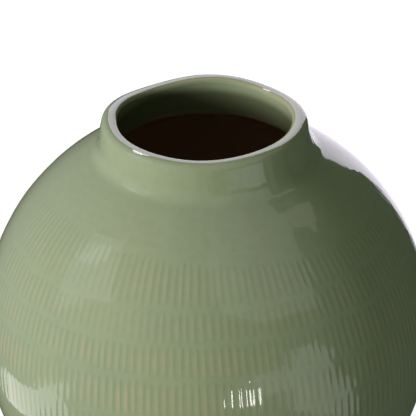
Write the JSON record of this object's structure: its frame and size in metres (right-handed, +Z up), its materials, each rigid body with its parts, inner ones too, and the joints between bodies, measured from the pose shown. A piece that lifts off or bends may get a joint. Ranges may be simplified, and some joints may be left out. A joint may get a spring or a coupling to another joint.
{
  "type": "stoneware pottery vase",
  "caption": "Globular stoneware vase with a short rolled-lip collar, a turned foot ring and a glossy sage-green glaze inside and out over bands of fine upright fluting.",
  "frame": {"origin": "centre of the foot ring's underside, on the surface the vase stands on", "axes": "+Z up along the axis the vase was turned about, out of the mouth; the vase is round, so X and Y are free, and the side shown in the picture faces -Y"},
  "size_m": [0.2699, 0.27, 0.2698],
  "materials": {
    "stoneware": "matte fired clay",
    "slip": "matte fired slip",
    "celadon_glaze": "gloss"
  },
  "bodies": {
    "root": {"foot_ring": "stoneware", "foot_slip_seam": "slip", "lower_body": "stoneware", "belly_slip_seam": "slip", "upper_body": "stoneware", "neck_slip_seam": "slip", "neck_collar": "stoneware", "outer_glaze": "celadon_glaze", "liner_glaze": "celadon_glaze"}
  },
  "joints": []
}
